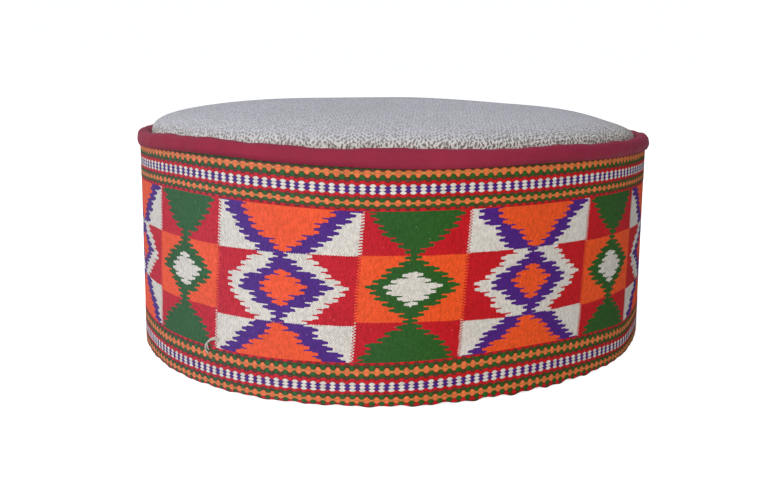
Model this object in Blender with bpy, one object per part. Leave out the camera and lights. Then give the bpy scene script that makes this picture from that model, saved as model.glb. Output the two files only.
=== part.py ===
"""A kullu cap: a round woollen cap with a patterned woven band on its turned-up flap.

Metres, +Z up. The cap stands on its rim at z = 0, its front faces -Y, and the origin is
the middle of the ground that it covers. Its plan is a slightly long oval. A place on the
cap is given by its turn about the upright axis (0 at the front, growing towards +X), its
outset from the face of the woven band, and its height.
"""
import math

import bmesh
import bpy

# Plan of the band's outer face, at the height where the binding starts
HALF_WIDTH = 0.0920
HALF_LENGTH = 0.1012
RIM_FLARE = 0.010           # share by which the plan widens from there down to the rim

# Heights
BAND_HEIGHT = 0.0707        # rim to the lower edge of the binding
BINDING_SHOW = 0.0046       # binding above that
CROWN_SEAM = 0.0725         # seam between the side and the top of the crown
CROWN_RISE = 0.0130         # middle of the top above that seam

# Thicknesses and the space kept between two pieces
CLEAR = 0.0003
STRIP_THICK = 0.0024        # band and flap where the binding grips them
FLAP_THICK = 0.0036         # band and flap elsewhere
TWEED_THICK = 0.0022
BINDING_THICK = 0.0009
EDGE_ROUND = 0.0007
FOLD_ROUND = 0.0020         # how far down from its fold the binding is rounded
LEG_ROUND = 0.0004          # lower edge of the binding's outer leg
INNER_LEG_EXTRA = 0.0008    # the binding's inner leg reaches this much lower than the outer

# The flap's two ends, which leave the back of the crown bare
FLAP_END_TURN = math.radians(155)
CORNER_RADIUS = 0.018
GRIP_DEPTH = 0.0070         # how far in from the flap's edge it stays thin
GRIP_FADE = 0.0025

# The cap isn't quite even. It stands a little taller in front, where its edge has one soft
# swell, and the edge falls a little by a back shoulder. The top tips to -X and dips over the
# shoulder on the other side.
FRONT_RISE = 0.0010
FRONT_RISE_AT = math.radians(-20)
EDGE_SWELL = 0.0014
EDGE_SWELL_AT = math.radians(-10)
EDGE_SWELL_WIDTH = math.radians(20)
EDGE_FALL = 0.0010
EDGE_FALL_AT = math.radians(128)
EDGE_FALL_WIDTH = math.radians(16)
TOP_TILT = 0.0011
TOP_DIP = 0.0048
TOP_DIP_AT = math.radians(124)
TOP_DIP_WIDTH = math.radians(26)

# How the top swells: height falls off as (1 - reach ** TOP_POWER) ** TOP_ROOT
TOP_POWER = 1.8
TOP_ROOT = 0.28

# Facets
AROUND = 72
CORNER_STEPS = 7
FLAP_STEPS = 68
FOLD_STEPS = 6
WALL_ROWS = (0.5, 0.75)     # shares of the height at which the band's face has a row
TOP_RINGS = (1.0, 0.999, 0.993, 0.975, 0.94, 0.88, 0.78, 0.63, 0.43, 0.20)
SLOPE_STEP = 0.002          # share of the way out over which the top's slope is taken

# Worked out from the sizes above
EDGE_HEIGHT = BAND_HEIGHT + BINDING_SHOW
STRIP_INSET = BINDING_THICK + CLEAR
SIDE_OUTSET = -(STRIP_THICK + CLEAR + BINDING_THICK + CLEAR)
FRONT_REACH = HALF_LENGTH + CLEAR + BINDING_THICK
BACK_REACH = HALF_LENGTH * (1 + RIM_FLARE) + SIDE_OUTSET
PLAN_SHIFT = (FRONT_REACH - BACK_REACH) / 2
TURNS = [2 * math.pi * i / AROUND for i in range(AROUND)]


def clear_scene():
    """Remove every object that the file holds."""
    for item in list(bpy.data.objects):
        bpy.data.objects.remove(item, do_unlink=True)


def front_rise(turn):
    """Extra height of the whole cap at a turn."""
    return FRONT_RISE * math.cos(turn - FRONT_RISE_AT)


def bell(turn, middle, width):
    """1 at the middle turn, fading to 0 on both sides of it."""
    return math.exp(-((turn - middle) / width) ** 2)


def edge_swell(turn):
    """Extra height of the flap's edge alone at a turn: a swell in front, a fall behind."""
    swell = EDGE_SWELL * bell(turn, EDGE_SWELL_AT, EDGE_SWELL_WIDTH)
    return swell - EDGE_FALL * bell(turn, EDGE_FALL_AT, EDGE_FALL_WIDTH)


def place(turn, outset, height, reach=1.0):
    """A point of the cap. reach is 1 at the wall and 0 on the upright axis."""
    flare = 1 + RIM_FLARE * max(0.0, 1 - height / BAND_HEIGHT)
    x = (HALF_WIDTH * flare + outset) * reach * math.sin(turn)
    y = -(HALF_LENGTH * flare + outset) * reach * math.cos(turn)
    z = height * (1 + reach * front_rise(turn) / BAND_HEIGHT)
    return (x, y + PLAN_SHIFT, z)


def arc_speed(turn):
    """Length along the oval for each radian of turn."""
    return math.hypot(HALF_WIDTH * math.cos(turn), HALF_LENGTH * math.sin(turn))


def finish_mesh(name, mesh, material):
    """Make an object of a bmesh, with its faces outwards and shaded smooth."""
    bmesh.ops.recalc_face_normals(mesh, faces=mesh.faces)
    data = bpy.data.meshes.new(name)
    mesh.to_mesh(data)
    mesh.free()
    data.shade_smooth()
    data.set_sharp_from_angle(angle=math.radians(50))
    data.materials.append(material)
    piece = bpy.data.objects.new(name, data)
    bpy.context.scene.collection.objects.link(piece)
    return piece


def bridge(mesh, first, second):
    """Quads between two closed loops of vertices."""
    for i in range(len(first)):
        mesh.faces.new((first[i - 1], first[i], second[i], second[i - 1]))


def make_material(name, colour, roughness):
    """A plain cloth material."""
    material = bpy.data.materials.new(name)
    material.use_nodes = True
    shader = material.node_tree.nodes["Principled BSDF"]
    shader.inputs["Base Color"].default_value = (*colour, 1.0)
    shader.inputs["Roughness"].default_value = roughness
    shader.inputs["Metallic"].default_value = 0.0
    return material


def wrap_profile(name, profile, material):
    """A closed profile of (outset, height) carried once round the cap."""
    mesh = bmesh.new()
    rings = []
    for outset, height in profile:
        rings.append([mesh.verts.new(place(turn, outset, height)) for turn in TURNS])
    for ring, following in zip(rings, rings[1:] + rings[:1]):
        bridge(mesh, ring, following)
    return finish_mesh(name, mesh, material)


def crown_side():
    """The upright tweed wall, open below, from the rim to the seam of the top."""
    outer = SIDE_OUTSET
    inner = SIDE_OUTSET - TWEED_THICK
    top = CROWN_SEAM - CLEAR / 2
    profile = [
        (outer - EDGE_ROUND, 0.0),
        (outer, EDGE_ROUND),
        (outer, BAND_HEIGHT / 2),
        (outer, BAND_HEIGHT),
        (outer, top),
        (inner, top),
        (inner, BAND_HEIGHT),
        (inner, BAND_HEIGHT / 2),
        (inner, EDGE_ROUND),
        (inner + EDGE_ROUND, 0.0),
    ]
    tweed = make_material("tweed_side", (0.46, 0.42, 0.38), 0.95)
    return wrap_profile("crown_side", profile, tweed)


def top_rise(turn, reach):
    """Rise of the top's upper face above the seam, at a share of the way out."""
    around = math.remainder(turn - TOP_DIP_AT, 2 * math.pi)
    dip = TOP_DIP * reach ** 6 * bell(around, 0.0, TOP_DIP_WIDTH)
    tilt = TOP_TILT * reach * math.sin(turn)
    return (CROWN_RISE - dip - tilt) * (1 - reach ** TOP_POWER) ** TOP_ROOT


def top_point(turn, reach, depth):
    """A point of the top, a depth under its upper face, square to that face."""
    inner = max(reach - SLOPE_STEP, 0.0)
    outer = min(reach + SLOPE_STEP, 1.0)
    run = (outer - inner) * (HALF_WIDTH + SIDE_OUTSET)
    slope = math.atan2(top_rise(turn, inner) - top_rise(turn, outer), run)
    if reach == 1.0:
        slope = math.pi / 2
    outset = SIDE_OUTSET * reach - depth * math.sin(slope)
    x = (HALF_WIDTH * reach + outset) * math.sin(turn)
    y = -(HALF_LENGTH * reach + outset) * math.cos(turn)
    seam = (CROWN_SEAM + CLEAR / 2) * (1 + reach * front_rise(turn) / BAND_HEIGHT)
    return (x, y + PLAN_SHIFT, seam + top_rise(turn, reach) - depth * math.cos(slope))


def crown_top():
    """The domed tweed top, an even shell whose edge stands on the side's seam."""
    mesh = bmesh.new()
    edges = []
    for depth in (0.0, TWEED_THICK):
        rings = []
        for reach in TOP_RINGS:
            rings.append([mesh.verts.new(top_point(turn, reach, depth)) for turn in TURNS])
        for ring, following in zip(rings, rings[1:]):
            bridge(mesh, ring, following)
        pole = mesh.verts.new(top_point(0.0, 0.0, depth))
        for i in range(AROUND):
            mesh.faces.new((rings[-1][i - 1], rings[-1][i], pole))
        edges.append(rings[0])
    bridge(mesh, edges[0], edges[1])
    tweed = make_material("tweed_top", (0.50, 0.48, 0.46), 0.95)
    return finish_mesh("crown_top", mesh, tweed)


def strip_columns():
    """Turn and top of each column of the band: round corners with an even run between."""
    radius = CORNER_RADIUS - STRIP_INSET
    top = EDGE_HEIGHT - STRIP_INSET
    end = FLAP_END_TURN - STRIP_INSET / arc_speed(FLAP_END_TURN)
    corner = []
    for i in range(CORNER_STEPS + 1):
        angle = math.pi / 2 * i / CORNER_STEPS
        away = radius * (1 - math.cos(angle))
        corner.append((away, top - radius + radius * math.sin(angle)))
    speed = arc_speed(end)
    left = [(-end + away / speed, height, away) for away, height in corner]
    start = left[-1][0]
    run = []
    for i in range(1, FLAP_STEPS):
        turn = start * (1 - 2 * i / FLAP_STEPS)
        away = (end - abs(turn)) * speed
        run.append((turn, top + edge_swell(turn), away))
    right = [(-turn, height, away) for turn, height, away in reversed(left)]
    return left + run + right


def flap_thickness(from_end, from_top):
    """Thin within the binding's grip, full further in."""
    share = (min(from_end, from_top) - GRIP_DEPTH) / GRIP_FADE
    share = min(max(share, 0.0), 1.0)
    return STRIP_THICK + (FLAP_THICK - STRIP_THICK) * share


def woven_band():
    """The patterned strip with the flap behind it, round the front and the sides."""
    mesh = bmesh.new()
    columns = []
    for turn, top, from_end in strip_columns():
        rows = [top * share for share in WALL_ROWS]
        outside = [EDGE_ROUND, *rows, top - EDGE_ROUND]
        grip_end = top - GRIP_DEPTH
        inside = [top - EDGE_ROUND, grip_end, grip_end - GRIP_FADE, rows[0], EDGE_ROUND]
        points = [(-EDGE_ROUND, 0.0)]
        points += [(0.0, height) for height in outside]
        points += [(-EDGE_ROUND, top), (EDGE_ROUND - STRIP_THICK, top)]
        for height in inside:
            points.append((-flap_thickness(from_end, top - height), height))
        points.append((points[-1][0] + EDGE_ROUND, 0.0))
        columns.append([mesh.verts.new(place(turn, *point)) for point in points])
    for column, following in zip(columns, columns[1:]):
        bridge(mesh, column, following)
    mesh.faces.new(columns[0])
    mesh.faces.new(columns[-1])
    wool = make_material("woven_wool", (0.50, 0.03, 0.05), 0.9)
    return finish_mesh("woven_band", mesh, wool)


def binding_path():
    """The flap's edge as (turn, height, edge direction): up one end, over, down the other.

    The direction points out of the flap in its own face: 0 is along the turn at the
    +X end, a quarter turn is straight up.
    """
    top = EDGE_HEIGHT
    leg_top = top - CORNER_RADIUS
    speed = arc_speed(FLAP_END_TURN)
    right = [(FLAP_END_TURN, CLEAR + (leg_top - CLEAR) * share, 0.0) for share in (0, 0.5)]
    for i in range(CORNER_STEPS + 1):
        angle = math.pi / 2 * i / CORNER_STEPS
        away = CORNER_RADIUS * (1 - math.cos(angle))
        height = leg_top + CORNER_RADIUS * math.sin(angle)
        right.append((FLAP_END_TURN - away / speed, height, angle))
    start = right[-1][0]
    run = []
    for i in range(1, FLAP_STEPS):
        turn = start * (1 - 2 * i / FLAP_STEPS)
        run.append((turn, top + edge_swell(turn), math.pi / 2))
    left = [(-turn, height, math.pi - angle) for turn, height, angle in reversed(right)]
    return right + run + left


def binding_profile():
    """The folded binding, cut across: (distance out of the flap's edge, outset)."""
    face = CLEAR + BINDING_THICK
    back = -(STRIP_THICK + CLEAR + BINDING_THICK)
    middle = (face + back) / 2
    grip = CLEAR - STRIP_INSET
    inner_leg = -BINDING_SHOW - INNER_LEG_EXTRA
    inner_face = back + BINDING_THICK
    profile = [(-BINDING_SHOW, CLEAR), (-BINDING_SHOW, face - LEG_ROUND)]
    profile.append((-BINDING_SHOW + LEG_ROUND, face))
    for i in range(FOLD_STEPS + 1):
        angle = math.pi * (0.5 - i / FOLD_STEPS)
        out = FOLD_ROUND * (math.cos(angle) - 1)
        profile.append((out, middle + (face - middle) * math.sin(angle)))
    profile += [(inner_leg, back), (inner_leg, inner_face), (grip, inner_face), (grip, CLEAR)]
    return profile


def binding():
    """The plain strip folded over the flap's top edge and down its two ends."""
    mesh = bmesh.new()
    sections = []
    profile = binding_profile()
    for turn, height, angle in binding_path():
        speed = arc_speed(turn)
        section = []
        for out, outset in profile:
            along = turn + out * math.cos(angle) / speed
            section.append(mesh.verts.new(place(along, outset, height + out * math.sin(angle))))
        sections.append(section)
    for section, following in zip(sections, sections[1:]):
        bridge(mesh, section, following)
    mesh.faces.new(sections[0])
    mesh.faces.new(sections[-1])
    satin = make_material("maroon_satin", (0.24, 0.02, 0.06), 0.55)
    return finish_mesh("binding", mesh, satin)


def build_cap():
    """Make the four pieces."""
    clear_scene()
    crown_side()
    crown_top()
    woven_band()
    binding()


build_cap()
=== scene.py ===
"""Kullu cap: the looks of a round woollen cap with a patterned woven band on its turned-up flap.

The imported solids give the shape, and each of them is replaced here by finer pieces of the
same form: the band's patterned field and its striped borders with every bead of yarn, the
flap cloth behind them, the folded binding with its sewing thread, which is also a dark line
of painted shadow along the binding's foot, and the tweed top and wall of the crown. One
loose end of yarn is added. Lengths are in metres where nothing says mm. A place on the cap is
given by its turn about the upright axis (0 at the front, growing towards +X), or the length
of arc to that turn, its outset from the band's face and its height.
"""
import math

import bpy
import numpy as np
from bpy.props import FloatProperty, FloatVectorProperty, PointerProperty
from bpy.types import Operator, Panel, PropertyGroup
from mathutils import Matrix


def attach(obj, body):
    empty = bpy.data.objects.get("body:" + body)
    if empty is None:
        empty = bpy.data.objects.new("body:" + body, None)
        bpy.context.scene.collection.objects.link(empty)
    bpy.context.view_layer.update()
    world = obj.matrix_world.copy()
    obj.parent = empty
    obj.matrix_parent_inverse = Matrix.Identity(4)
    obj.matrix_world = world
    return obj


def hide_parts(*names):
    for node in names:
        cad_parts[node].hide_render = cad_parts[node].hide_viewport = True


bl_info = {
    "name": "Kullu cap",
    "version": (1, 0, 0),
    "blender": (4, 5, 0),
    "location": "3D View > Sidebar > Kullu cap",
    "description": "Dresses a packed kullu cap in its woven band, binding and tweed",
    "category": "Object",
}

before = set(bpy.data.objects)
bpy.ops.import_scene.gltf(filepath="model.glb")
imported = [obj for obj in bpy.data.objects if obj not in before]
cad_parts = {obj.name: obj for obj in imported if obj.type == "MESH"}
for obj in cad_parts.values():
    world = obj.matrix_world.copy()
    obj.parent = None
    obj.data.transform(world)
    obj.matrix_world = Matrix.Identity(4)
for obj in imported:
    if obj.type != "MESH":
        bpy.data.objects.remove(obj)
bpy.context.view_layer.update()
MM = 0.001

# The solids' sizes, repeated from the part's source. A swell, fall or dip is a bell round the
# cap: (size, middle and width in degrees)
HALF_WIDTH = 0.0920
HALF_LENGTH = 0.1012
RIM_FLARE = 0.010
BAND_HEIGHT = 0.0707
BINDING_SHOW = 0.0046
CROWN_SEAM = 0.0725
CROWN_RISE = 0.0130
CLEAR = 0.0003
STRIP_THICK = 0.0024
FLAP_THICK = 0.0036
TWEED_THICK = 0.0022
BINDING_THICK = 0.0009
FLAP_END_TURN = math.radians(155)
CORNER_RADIUS = 0.018
GRIP_DEPTH = 0.0070
GRIP_FADE = 0.0025
FRONT_RISE = 0.0010
FRONT_RISE_AT = math.radians(-20)
EDGE_SWELL = (0.0014, -10, 20)
EDGE_FALL = (0.0010, 128, 16)
TOP_TILT = 0.0011
TOP_DIP = (0.0048, 124, 26)
TOP_POWER = 1.8
TOP_ROOT = 0.28
EDGE_HEIGHT = BAND_HEIGHT + BINDING_SHOW
STRIP_INSET = BINDING_THICK + CLEAR
SIDE_OUTSET = -(STRIP_THICK + CLEAR + BINDING_THICK + CLEAR)
FRONT_REACH = HALF_LENGTH + CLEAR + BINDING_THICK
BACK_REACH = HALF_LENGTH * (1 + RIM_FLARE) + SIDE_OUTSET
PLAN_SHIFT = (FRONT_REACH - BACK_REACH) / 2

# Unevenness that only the visible cloth has, as such bells. PRESSED gives, in place of a size,
# the share by which the binding lies flatter
UPPER_DRIFT = ((0.0013, -17, 28), (-0.0006, 26, 15), (0.0003, 74, 12))
LOWER_DRIFT = ((-0.0006, -10, 32), (0.00145, 55, 18), (-0.0012, 88, 9))
FOLD_WAVES = ((0.0003, 29, 6), (0.0003, 42, 7), (0.0005, 66, 7))
FOOT_WAVES = ((-0.0002, 0, 12), (0.0006, 36, 12), (-0.0003, 60, 10))
PRESSED = (0.4, -48, 16)

# How much of a border's drift there is at heights, (heights, shares)
UPPER_FADE = ([0.046, 0.0585, 0.070, 0.0736], [0, 1, 1, 0])
LOWER_FADE = ([0, 0.0014, 0.006, 0.0137, 0.026], [0, 0.6, 1, 1, 0])

# Cut size of the tweed: the wall's way round
WALL_ROUND = 0.606

# Where the woven strip is divided, and its stripes from the top of each border down:
# (yarn, rows of beads, height of the stripe's lower edge in mm)
FIELD_BOTTOM = 13.7
FIELD_TOP = 58.5
# The ground rows are a dark yarn that also stands for painted shade round the green beads, and the lowest
# row of the hem for painted shade at the hem's foot
UPPER_BORDER = (73.6, [
    ("green", 4, 70.35), ("ground", 1, 69.95), ("apricot", 3, 68.6), ("green", 1, 67.35),
    ("ground", 1, 67.05), ("red", 2, 65.9), ("checks", 5, 63.5), ("red", 2, 62.5),
    ("ground", 1, 62.25), ("green", 1, 61.25), ("apricot", 3, 60.4), ("green", 1, 59.6),
    ("ground", 1, 59.3), ("red", 1, FIELD_TOP),
])
LOWER_BORDER = (FIELD_BOTTOM, [
    ("red", 1, 13.05), ("ground", 1, 12.75), ("green", 1, 11.4), ("apricot", 3, 10.25),
    ("green", 1, 9.1), ("ground", 1, 8.75), ("red", 2, 7.4), ("checks", 5, 5.0),
    ("red", 2, 4.05), ("ground", 1, 3.75), ("green", 1, 2.7), ("apricot", 3, 1.65),
    ("green", 1, 0.85), ("red", 1, 0.45), ("ground", 1, 0.0),
])

# Yarns of a stripe's rows in turn, and how much painted shade darkens each yarn's stripe
# between its beads
# In the apricot stripes the darker rows between the apricot beads are partly painted shade
ROW_YARNS = {"checks": ("cream", "purple"), "apricot": ("apricot", "straw_and_shade")}
GAP_SHADES = {"green": 0.75, "red": 0.55, "purple": 0.6, "cream": 0.3, "apricot": 0.12, "straw_and_shade": 0.5,
        "ground": 0.6}

# Half widths of the motifs in mm at heights in mm, charted over one repeat. None is
# more than CHART_HALF
CHART_HALF = 24.0
GREEN_PANEL_HALF = 15.85
# How far a panel's blocks lie above the chart in mm, (panel, lower edge, upper edge): even
# panels have a green motif in the middle, odd ones a purple one
PANEL_LIFTS = [(-2, 0.6, -0.6), (-1, -0.7, -0.8), (0, 0.6, -0.7), (1, 0.0, -0.3), (2, -0.6, -0.8)]
BLOCKS_BOTTOM = 25.2
BLOCKS_TOP = 46.0
BLOCKS_MIDDLE = 35.9
TREE = [(13.7, 13.8), (18.3, 11.0), (20.8, 7.4), (23.4, 4.2), (24.6, 1.9), (27.0, 1.9), (28.6, 4.2),
        (36.0, 13.6), (41.0, 7.8), (43.4, 3.7), (45.2, 1.8), (47.8, 1.9), (49.1, 4.8), (52.0, 8.2),
        (55.3, 11.2), (58.5, 13.5)]
CREAM_HEART = [(30.4, 0.0), (31.0, 1.2), (35.9, 7.9), (40.6, 1.6), (41.4, 0.0)]
DIAGONALS = [(13.7, 21.5), (20.0, 14.0), (25.0, 8.8), (46.5, 8.8), (52.0, 14.0), (58.5, 21.0)]
CORNER_TRIANGLES = [(13.7, 14.9), (25.0, 0.9), (26.0, 0.0), (45.4, 0.0), (46.4, 0.9), (48.4, 3.4),
                    (53.7, 10.0), (58.5, 14.0)]
CREAM_ZIGZAG = [(24.8, 7.2), (36.0, 19.4), (46.5, 7.0)]
PURPLE_DIAMOND = [(24.8, 1.0), (26.8, 1.6), (36.0, 14.6), (44.7, 1.6), (46.5, 1.0)]
ORANGE_HEART = [(30.4, 0.0), (30.9, 1.0), (35.9, 7.6), (40.9, 1.0), (41.4, 0.0)]

# Bends of the loose yarn: arc from the middle of a green motif, height and outset in mm
LOOSE_YARN = [(-60.9, 15.6, -0.2), (-62.6, 16.4, 0.7), (-64.7, 15.2, 1.1), (-65.9, 13.6, 1.0),
              (-65.5, 12.2, 0.7), (-64.5, 11.4, 0.4)]


def size(name, description, default):
    """A length that a user may change."""
    return FloatProperty(name=name, description=description, default=default, min=0.0, unit="LENGTH")


def number(name, description, default, unit="NONE"):
    """A plain number that a user may change."""
    return FloatProperty(name=name, description=description, default=default, unit=unit)


def share(name, description, default):
    """A share or strength that a user may change."""
    return FloatProperty(name=name, description=description, default=default, subtype="FACTOR")


def colour(name, description, default):
    """A colour that a user may change, in linear red, green and blue."""
    return FloatVectorProperty(
        name=name, description=description, default=default, subtype="COLOR", min=0.0, max=1.0
    )


class KULLUCAP_PG_weave(PropertyGroup):
    """Sizes of the weave."""

    repeat: size("Repeat", "Length of one pair of motifs along the band", 0.0769)
    start: size("First motif", "Arc from the front to the middle of a green motif", 0.05484)
    bead: size("Bead", "Length of a bead of yarn in the field", 0.00075)
    row: size("Row", "Height between two rows of beads in the field", 0.00055)
    border_bead: size("Border bead", "Length of a bead of yarn in the borders", 0.00289)
    narrow: number("Narrow beads", "Narrowness of the field's beads", 1.4)
    border_narrow: number("Narrow border beads", "Narrowness of the borders' beads", 2.1)
    field_relief: size("Field relief", "How far a bead stands out in the field", 0.00010)
    border_relief: size("Border relief", "How far a bead stands out in the borders", 0.00034)
    lean: share("Lean", "Sideways lean of the motifs for each unit of height", 0.075)
    tooth: number("Tooth", "Height of a tooth at a panel's edge, in mm", 0.9)


class KULLUCAP_PG_dye(PropertyGroup):
    """Colours of the yarns and cloths."""

    red: colour("Red", "Red yarn", (0.56, 0.011, 0.018))
    orange: colour("Orange", "Orange yarn", (0.90, 0.100, 0.020))
    apricot: colour("Apricot", "Pale orange yarn of the borders", (0.80, 0.190, 0.060))
    # Partly a yellowish yarn and partly painted shade: the darker rows between the apricot beads
    straw_and_shade: colour("Straw and shade", "Yellowish yarn of the borders", (0.60, 0.225, 0.060))
    # Partly painted shade: the ground rows darken round the green beads and at the hem's foot
    ground: colour("Ground", "Olive brown ground between the borders' beads", (0.085, 0.055, 0.022))
    green: colour("Green", "Green yarn", (0.024, 0.112, 0.019))
    purple: colour("Purple", "Purple yarn", (0.075, 0.018, 0.230))
    cream: colour("Cream", "Undyed yarn", (0.72, 0.69, 0.65))
    tweed_light: colour("Light tweed", "Light yarn of the tweed", (0.66, 0.64, 0.63))
    tweed_dark: colour("Dark tweed", "Brown yarn of the tweed", (0.13, 0.10, 0.09))
    binding: colour("Binding", "Maroon binding cloth", (0.30, 0.024, 0.058))
    # Painted light: a bluish tint of cool light from the left, mixed into every yarn towards the left
    # end, and its share there
    left_light_tint: colour("Left light tint", "Tint that the yarns take on towards the left", (0.35, 0.48, 0.85))
    fade: share("Fade", "How much of that tint they take on at the left end", 0.055)
    fleck: colour("Fleck", "Pale hairs on the yarns", (0.62, 0.55, 0.48))
    # Painted shade: the dark colour laid over each bead's edge, between the beads of yarn
    gap: colour("Gap", "Dark between the beads of yarn", (0.055, 0.012, 0.008))
    # This colour is also the dark line of painted shadow under the binding's foot, laid as the sewing
    # thread
    thread: colour("Thread", "Sewing thread", (0.045, 0.012, 0.008))


class KULLUCAP_PG_light(PropertyGroup):
    """Strengths of the studio's lights."""

    key: number("Key", "Light from the front", 10.8, "POWER")
    fill: number("Fill", "Light from the right", 0.1, "POWER")
    top: number("Top", "Light from above", 3.0, "POWER")
    sky: number("Sky", "Strength of the pale surroundings", 1.0)


# Shape of the cap


def ripple(turn, height):
    """Small unevenness of the whole wall: three slow waves round the cap, two of them
    sliding with height."""
    slide = height / BAND_HEIGHT
    waves = 0.5 * np.sin(5 * turn + 0.7) + 0.35 * np.sin(9 * turn - 2.0 * slide + 2.1)
    return 0.00035 * (waves + 0.3 * np.sin(14 * turn + 2.6 * slide))


def front_rise(turn):
    """Extra height of the whole cap, a cosine of the turn."""
    return FRONT_RISE * np.cos(turn - FRONT_RISE_AT)


def bells(turn, *shapes):
    """A sum of bells, most * exp(-((turn - middle) / width)^2), round the cap."""
    return sum(most * np.exp(-((np.mod(np.degrees(turn) - middle + 180, 360) - 180) / width) ** 2)
               for most, middle, width in shapes)


def edge_swell(turn):
    """Extra height of the flap's edge alone: a swell in front less a fall behind."""
    return bells(turn, EDGE_SWELL) - bells(turn, EDGE_FALL)


def drift(arc, height):
    """How far the weave lies above its even height. Each border has a drift of its own, which
    fades out in the field, and the hem and the top don't move. No point comes down by more
    than 0.65 of its height."""
    turn = turn_at(arc)
    upper = bells(turn, *UPPER_DRIFT) * np.interp(height, *UPPER_FADE)
    lower = bells(turn, *LOWER_DRIFT) * np.interp(height, *LOWER_FADE)
    return np.maximum(upper + lower, -0.65 * height)


def place(turn, outset, height):
    """Points of the wall: an oval that widens evenly towards the rim, moved out by the outset
    and the ripple, and stretched upwards by the front's rise."""
    turn, outset, height = np.broadcast_arrays(turn, outset, height)
    flare = 1 + RIM_FLARE * np.maximum(0.0, 1 - height / BAND_HEIGHT)
    outset = outset + ripple(turn, height)
    x = (HALF_WIDTH * flare + outset) * np.sin(turn)
    y = PLAN_SHIFT - (HALF_LENGTH * flare + outset) * np.cos(turn)
    return np.stack([x, y, height * (1 + front_rise(turn) / BAND_HEIGHT)], axis=-1)


def running(steps):
    """The running total of some steps, from 0."""
    return np.concatenate([[0], np.cumsum(steps)])


def turn_at(arc):
    """The turn where the oval's arc from the front has a length: the oval's speed is added up
    over fine steps, and the sum is read backwards."""
    turns = np.linspace(-math.pi, math.pi, 4001)
    speed = np.hypot(HALF_WIDTH * np.cos(turns), HALF_LENGTH * np.sin(turns))
    arcs = running((speed[1:] + speed[:-1]) / 2 * np.diff(turns))
    return np.interp(arc, arcs - arcs[-1] / 2, turns)


def arc_at(turn):
    """The length of the oval's arc from the front to a turn, read backwards from turn_at over
    a little more than the whole way round."""
    arcs = np.linspace(-0.31, 0.31, 6201)
    return float(np.interp(turn, turn_at(arcs), arcs))


FLAP_END = arc_at(FLAP_END_TURN)


def flap_top(arc):
    """Height of the flap's top edge: even but for its swell, and a quarter circle at each end."""
    away = np.clip(FLAP_END - np.abs(arc), 0.0, CORNER_RADIUS)
    corner = np.sqrt(np.maximum(CORNER_RADIUS ** 2 - (CORNER_RADIUS - away) ** 2, 0.0))
    return EDGE_HEIGHT - CORNER_RADIUS + corner + edge_swell(turn_at(arc))


def beads(across, row, narrow):
    """Height of yarn beads, up to 1, laid like bricks: odd rows lie half a bead further along.
    Each point belongs to the bead whose middle is nearest, and the bead is a dome, the root of
    1 less 0.9 of the squared distance. narrow is how much more a distance along the row counts
    than one across it."""
    even = narrow * (2 * (across - np.round(across))) ** 2 + (row - 2 * np.round(row / 2)) ** 2
    odd = narrow * (2 * (across - np.floor(across) - 0.5)) ** 2 + (row - 2 * np.floor(row / 2) - 1) ** 2
    return np.sqrt(1 - 0.9 * np.minimum(np.minimum(even, odd) / (0.5 + narrow / 2), 1.0))


# Meshes


def grid_faces(rows, columns):
    """Quads between neighbouring closed loops: rows loops of columns points each."""
    row = np.arange(rows - 1)[:, None] * columns
    column = np.arange(columns)[None, :]
    following = (column + 1) % columns
    quads = [row + column, row + following, row + columns + following, row + columns + column]
    return np.stack(quads, axis=-1).reshape(-1, 4)


def make_piece(name, points, faces, material, uv=None, sharp=50):
    """A smooth piece made of points and a list of face arrays, with its faces outwards: where
    the volume that they enclose comes out negative, every face is turned round."""
    sizes = np.concatenate([np.full(len(group), group.shape[1]) for group in faces])
    corners = np.concatenate([group.ravel() for group in faces]).astype(np.int32)
    starts = running(sizes[:-1]).astype(np.int32)
    mesh = bpy.data.meshes.new(name)
    mesh.vertices.add(len(points))
    mesh.vertices.foreach_set("co", np.ascontiguousarray(points, np.float32).ravel())
    mesh.loops.add(len(corners))
    mesh.loops.foreach_set("vertex_index", corners)
    mesh.polygons.add(len(sizes))
    mesh.polygons.foreach_set("loop_start", starts)
    mesh.update(calc_edges=True)
    mesh.calc_loop_triangles()
    triangles = np.zeros(len(mesh.loop_triangles) * 3, np.int32)
    mesh.loop_triangles.foreach_get("vertices", triangles)
    a, b, c = np.asarray(points)[triangles.reshape(-1, 3)].transpose(1, 0, 2)
    if (a * np.cross(b, c)).sum() < 0:
        mesh.flip_normals()
    if uv is not None:
        loops = np.zeros(len(mesh.loops), np.int32)
        mesh.loops.foreach_get("vertex_index", loops)
        layer = mesh.uv_layers.new(name="cloth")
        layer.data.foreach_set("uv", np.asarray(uv, np.float32)[loops].ravel())
    mesh.validate()
    mesh.shade_smooth()
    mesh.set_sharp_from_angle(angle=math.radians(sharp))
    mesh.materials.append(material)
    piece = bpy.data.objects.new(name, mesh)
    bpy.context.scene.collection.objects.link(piece)
    return piece


def swept_piece(name, points, material, uv=None, sharp=50):
    """A closed solid from an array of closed sections (section, point, xyz), with both ends
    closed by a flat face."""
    sections, count = points.shape[:2]
    first = np.arange(count)[::-1][None, :]
    last = np.arange(count)[None, :] + (sections - 1) * count
    faces = [grid_faces(sections, count), first, last]
    flat_uv = None if uv is None else uv.reshape(-1, 2)
    return make_piece(name, points.reshape(-1, 3), faces, material, flat_uv, sharp)


def cloth_map(along, up):
    """A piece's own map, (along, up) at each of its points."""
    return np.stack(np.broadcast_arrays(along, up), axis=-1)


def keep(piece, node=None):
    """Ride on the cap's body. A piece that stands for a node also hides that node's solid."""
    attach(piece, "root")
    if node:
        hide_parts(node)


# Node trees


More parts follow.
